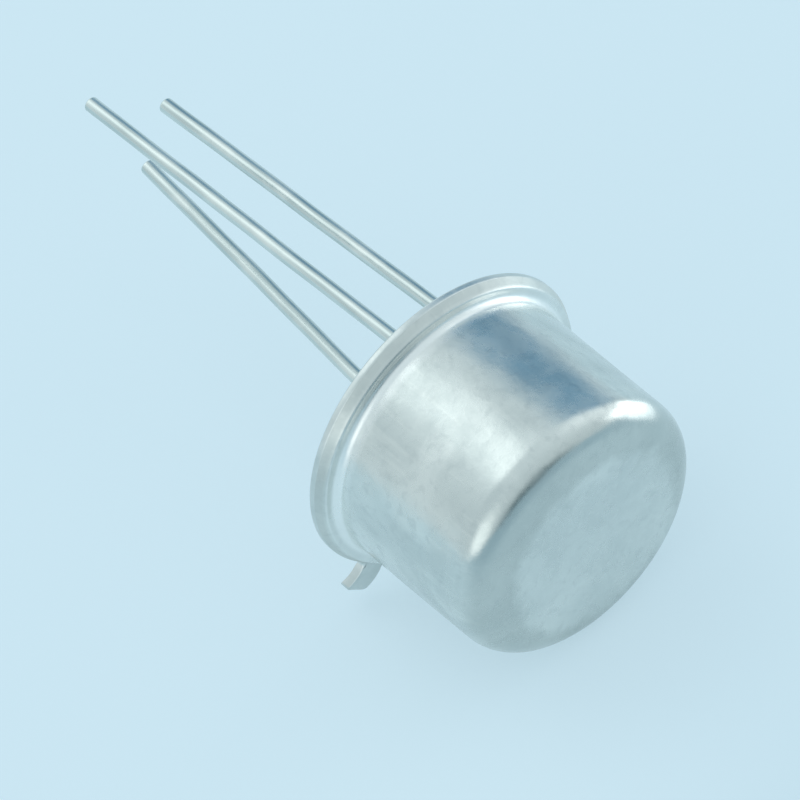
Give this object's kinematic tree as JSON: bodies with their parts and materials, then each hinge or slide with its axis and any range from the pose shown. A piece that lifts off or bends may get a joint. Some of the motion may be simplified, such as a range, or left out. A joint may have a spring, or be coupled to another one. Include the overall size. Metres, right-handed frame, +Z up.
{
  "type": "thyristor",
  "caption": "Small power thyristor in a round welded metal can with a flange tab and straight wire leads, lying on its side.",
  "frame": {"origin": "on the bench, under the middle of the box round the whole part as it lies", "axes": "+Z up; +X along the can as it lies, from the lead ends towards the closed end of the can; the closed end dips slightly"},
  "size_m": [0.0206, 0.0094, 0.0093],
  "materials": {
    "nickel_cap": "satin nickel with faint handling marks",
    "plated_header": "satin nickel plate over cold-formed steel",
    "seal_glass": "dark fused glass, glossy, with a meniscus",
    "tinned_lead": "dip-tinned round wire",
    "lead_braze": "smooth braze fillet",
    "soft_solder": "matt reflowed solder",
    "molybdenum_plate": "ground molybdenum",
    "silicon_pellet": "sawn and etched silicon",
    "pad_metal": "evaporated metal",
    "junction_varnish": "cured amber varnish",
    "nickel_strip": "annealed nickel strip",
    "bond_wire": "drawn aluminium wire"
  },
  "bodies": {
    "root": {"cap": "nickel_cap", "header": "plated_header", "cathode_seal": "seal_glass", "gate_seal": "seal_glass", "cathode_lead": "tinned_lead", "gate_lead": "tinned_lead", "anode_lead": "tinned_lead", "anode_braze": "lead_braze", "plate_solder": "soft_solder", "support_plate": "molybdenum_plate", "pellet_solder": "soft_solder", "pellet": "silicon_pellet", "cathode_pad": "pad_metal", "gate_pad": "pad_metal", "junction_coating": "junction_varnish", "cathode_strap": "nickel_strip", "gate_wire": "bond_wire"}
  },
  "joints": []
}
